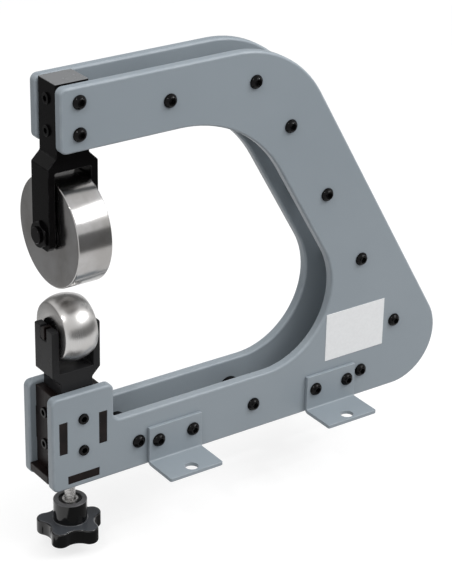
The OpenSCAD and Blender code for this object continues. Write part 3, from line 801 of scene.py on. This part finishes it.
def anvilWheel():
    # The crown is part of a circle about the wheel's middle, so the radius at x is the root of R squared
    # less x squared. A soft rim joins it to each side, and the stepped bore goes back to the first side.
    bearing = wheelLooks["anvilBearing"]
    half, radius, seat, bore, step = wheelSizes("anvil_wheel", "anvil_outer_rings", bearing)
    soft, edge = wheelLooks["anvilRim"], math.sqrt(radius ** 2 - half ** 2)
    across = np.linspace(soft - half, half - soft, wheelLooks["crownPoints"])
    crown = np.stack([across, np.sqrt(radius ** 2 - across ** 2)], 1)
    share = np.linspace(0, 1, wheelLooks["anvilRimPoints"])[:, None]
    left, right = (softCurve(np.array([side, edge - soft]), np.array([side, edge]), end, share)
                   for side, end in ((-half, crown[0]), (half, crown[-1])))
    corners = [(half, seat), (step, seat), (step, bore), (-step, bore), (-step, seat), (-half, seat),
               (-half, edge - soft), (half, edge - soft)]
    inside = softRun(corners, [wheelLooks["fine"]] * len(corners))[:-2 * cornerSteps]
    turnedWheel("anvil_wheel", np.concatenate([left, crown[1:-1], right[::-1], inside]), anvilAxis)


upperWheel()
anvilWheel()
print("wheels turned")


def aroundUpright(node, radius, height, angle):
    # Points at each radius and height round the upright line through a node's middle
    middle = nodeMiddle(node)
    x, y = middle.x + radius * np.cos(angle), middle.y + radius * np.sin(angle)
    return np.stack([x, y, height + 0 * angle], -1)


# Sizes in metres. The slope of a flank is in depths for one pitch.
threadLooks = {
    "pitch": 0.00125,
    "depth": 0.00012,
    "slope": 2.5,
    "rowsPerTurn": 10,
    "columns": 40,
    "endCut": 0.0008,
    "journal": 0.003,
    "journalLength": 0.012,
    "journalCut": 0.0004,
}


def adjustingScrew():
    # The radius falls from crest to root and back once per pitch of height, shifted by the angle's share of
    # a turn. Both ends are cut to a cone, and a plain journal stands on the upper one.
    low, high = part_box("adjusting_screw")
    crest, pitch = (high.x - low.x) / 2, threadLooks["pitch"]
    shoulder = high.z - threadLooks["journalLength"]
    rows = int((shoulder - low.z) / pitch * threadLooks["rowsPerTurn"])
    height = np.linspace(low.z, shoulder, rows)[:, None]
    angle = fullTurn(threadLooks["columns"])
    phase = np.mod((height - low.z) / pitch - angle / (2 * math.pi), 1.0)
    dip = np.clip(threadLooks["slope"] * (0.5 - np.abs(phase - 0.5)), 0, 1)
    fromEnd = np.minimum(height - low.z, shoulder - height)
    radius = np.minimum(crest - threadLooks["depth"] * dip, crest - threadLooks["endCut"] + fromEnd)
    journal, cut = threadLooks["journal"], threadLooks["journalCut"]
    tip = np.array([[shoulder, journal], [high.z - cut, journal], [high.z, journal - cut]])
    height = np.concatenate([height, tip[:, :1]])
    radius = np.concatenate([radius, np.repeat(tip[:, 1:], angle.size, 1)])
    points = aroundUpright("adjusting_screw", radius, height, angle)
    standIn("adjusting_screw", gridMesh("adjusting_screw_shape", points, False))


adjustingScrew()
print("thread cut")


insertLooks = {"fit": 0.00005, "soft": (0.0002, 0.0005, 0.0006, 0.0009), "columns": 72}


def knobInsert():
    # A steel bush with soft ends, as a closed outline carried round the knob's axis
    low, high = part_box("knob_insert")
    screwLow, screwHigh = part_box("adjusting_screw")
    outer, inner = (high.x - low.x) / 2, (screwHigh.x - screwLow.x) / 2 + insertLooks["fit"]
    corners = [(low.z, inner), (low.z, outer), (high.z, outer), (high.z, inner)]
    outline = softRun(corners, insertLooks["soft"])
    points = aroundUpright("knob_insert", outline[:, 1:], outline[:, :1], fullTurn(insertLooks["columns"]))
    standIn("knob_insert", gridMesh("knob_insert_shape", points, True))


nutLooks = {
    "shaft": 0.006,
    "fit": 0.00003,
    "soft": 0.0002,
    "coneSteps": 8,
    "columns": 120,
    "sharpDegrees": 35.0,
}


def axleNut():
    # A ring whose radius at an angle is that of a hexagon there, or a limit that grows with the cone of its
    # outer face, whichever is less
    low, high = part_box("upper_axle_nut")
    middle, length = (low + high) / 2, high.x - low.x
    half, side = (high.y - low.y) / 2, math.pi / 3
    corner, bore, soft = half / math.cos(side / 2), nutLooks["shaft"] + nutLooks["fit"], nutLooks["soft"]
    cone = np.linspace(0, corner - half, nutLooks["coneSteps"])
    along = np.concatenate([[soft, 0, 0], cone, [length - soft, length, length, length - soft]])
    limit = np.concatenate([[bore, bore + soft, half - soft], half + cone,
                            [corner, corner - soft, bore + soft, bore]])
    angle = fullTurn(nutLooks["columns"])
    hexagon = half / np.cos(np.mod(angle, side) - side / 2)
    radius = np.minimum(hexagon, limit[:, None])
    points = np.stack([low.x + along[:, None] + 0 * radius, middle.y + radius * np.sin(angle),
                       middle.z + radius * np.cos(angle)], -1)
    mesh = gridMesh("upper_axle_nut_shape", points, True)
    mesh.set_sharp_from_angle(angle=math.radians(nutLooks["sharpDegrees"]))
    standIn("upper_axle_nut", mesh)


knobInsert()
axleNut()
print("small turned parts made")


# Light: radiances and glows are strengths, and sizes and places are in metres. The cards are seen only in
# reflections, where they darken what polished and black surfaces mirror.
studio = {
    "ambient": 0.56,
    "lamps": {
        "topSoftbox": {"radiance": 1.4, "size": (1.8, 1.8), "gloss": False,
                       "from": (0.1, -0.2, 1.0), "distance": 1.7},
        "frontSoftbox": {"radiance": 4.4, "size": (0.9, 0.66), "gloss": True,
                         "from": (0.68, -0.97, 1.07), "distance": 1.6},
        "leftSoftbox": {"radiance": 150.0, "size": (0.08, 0.08), "gloss": True,
                        "from": (-0.62, -0.35, 0.75), "distance": 1.6},
        "rightSoftbox": {"radiance": 130.0, "size": (0.08, 0.08), "gloss": True,
                         "from": (0.95, -0.6, 0.85), "distance": 1.6},
    },
    "floor": {"gap": 0.011, "size": (12.0, 12.0), "grey": 0.32, "glow": 0.74},
    "cards": {
        "frontCard": {"glow": 0.20, "size": (1.3, 0.33), "at": (0.168, -0.45, 0.105),
                      "faces": (-0.35, 0.935, 0.0)},
        "rearCard": {"glow": 0.18, "size": (0.8, 0.62), "at": (0.18, 0.45, 0.59),
                     "faces": (-0.577, -0.816, 0.0)},
        "leftCard": {"glow": 0.30, "size": (0.7, 0.36), "at": (-0.26, 0.367, 0.12),
                     "faces": (0.577, -0.816, 0.0)},
        "floorCard": {"glow": 0.16, "size": (0.12, 0.11), "at": (-0.135, -0.05, -0.060),
                      "faces": (0.0, 0.0, 1.0)},
    },
}
white = (1.0, 1.0, 1.0, 1.0)


def facing(direction, centre, distance):
    # A place in that direction from the centre, whose -Z looks back at it
    away = Vector(direction).normalized()
    place = away.to_track_quat("Z", "Y").to_matrix().to_4x4()
    place.translation = centre + away * distance
    return place


def softbox(name, looks, centre):
    # A lamp whose power is its radiance times pi times its area
    data = bpy.data.lights.new(name, "AREA")
    data.shape = "RECTANGLE"
    data.size, data.size_y = looks["size"]
    data.energy = looks["radiance"] * math.pi * data.size * data.size_y
    lamp = bpy.data.objects.new(name, data)
    lamp.matrix_world = facing(looks["from"], centre, looks["distance"])
    lamp.visible_glossy = looks["gloss"]
    scene.collection.objects.link(lamp)


def seenBy(shell, *rays):
    # 1 for the rays named, such as Camera or Glossy, and 0 for the rest
    seen, *others = (shell.make("ShaderNodeLightPath", output=f"Is {ray} Ray") for ray in rays)
    for other in others:
        seen = shell.maths("MAXIMUM", seen, other)
    return seen


def skyLight():
    # White where it is seen, and plain ambient light for everything else
    world = bpy.data.worlds.new("studio")
    scene.world = world
    world.use_nodes = True
    world.node_tree.nodes.clear()
    sky = Signal(world.node_tree)
    seen = seenBy(sky, "Camera", "Glossy", "Transmission")
    strength = studio["ambient"] + seen * (1.0 - studio["ambient"])
    glow = sky.make("ShaderNodeBackground", {}, {"Color": white, "Strength": strength})
    sky.make("ShaderNodeOutputWorld", {}, {"Surface": glow})


def stagePlane(name, size, place, material):
    corners = np.array([(-1, -1), (1, -1), (1, 1), (-1, 1)]) * np.array(size) / 2
    mesh = bpy.data.meshes.new(name)
    mesh.from_pydata(np.c_[corners, np.zeros(4)], [], [(0, 1, 2, 3)])
    mesh.transform(place)
    mesh.materials.append(material)
    plane = bpy.data.objects.new(name, mesh)
    scene.collection.objects.link(plane)
    return plane


def paleFloor(centre):
    # A grey floor, which takes the shadow, with a glow of its own that brings it to white where it is seen
    looks = studio["floor"]
    material, shell = newFinish("paleFloor")[:2]
    lit = shell.make("ShaderNodeBsdfDiffuse", {}, {"Color": (looks["grey"],) * 3 + (1.0,)})
    glow = {"Color": white, "Strength": seenBy(shell, "Camera", "Glossy") * looks["glow"]}
    shine = shell.make("ShaderNodeEmission", {}, glow)
    both = shell.make("ShaderNodeAddShader", {}, {0: lit, 1: shine})
    shell.make("ShaderNodeOutputMaterial", {}, {"Surface": both})
    place = Matrix.Translation((centre.x, centre.y, cadBox[0].z - looks["gap"]))
    stagePlane("floor", looks["size"], place, material)


def reflectionCard(name, looks):
    # A plane of even grey that only reflections show
    material, shell = newFinish(name)[:2]
    grey = shell.make("ShaderNodeEmission", {}, {"Color": white, "Strength": looks["glow"]})
    shell.make("ShaderNodeOutputMaterial", {}, {"Surface": grey})
    card = stagePlane(name, looks["size"], facing(looks["faces"], Vector(looks["at"]), 0.0), material)
    card.visible_camera = False
    card.visible_diffuse = False
    card.visible_shadow = False


def lightStudio():
    centre = (Vector(cadBox[0]) + Vector(cadBox[1])) / 2
    for name, looks in studio["lamps"].items():
        softbox(name, looks, centre)
    skyLight()
    paleFloor(centre)
    for name, looks in studio["cards"].items():
        reflectionCard(name, looks)


lightStudio()
print("studio lit")
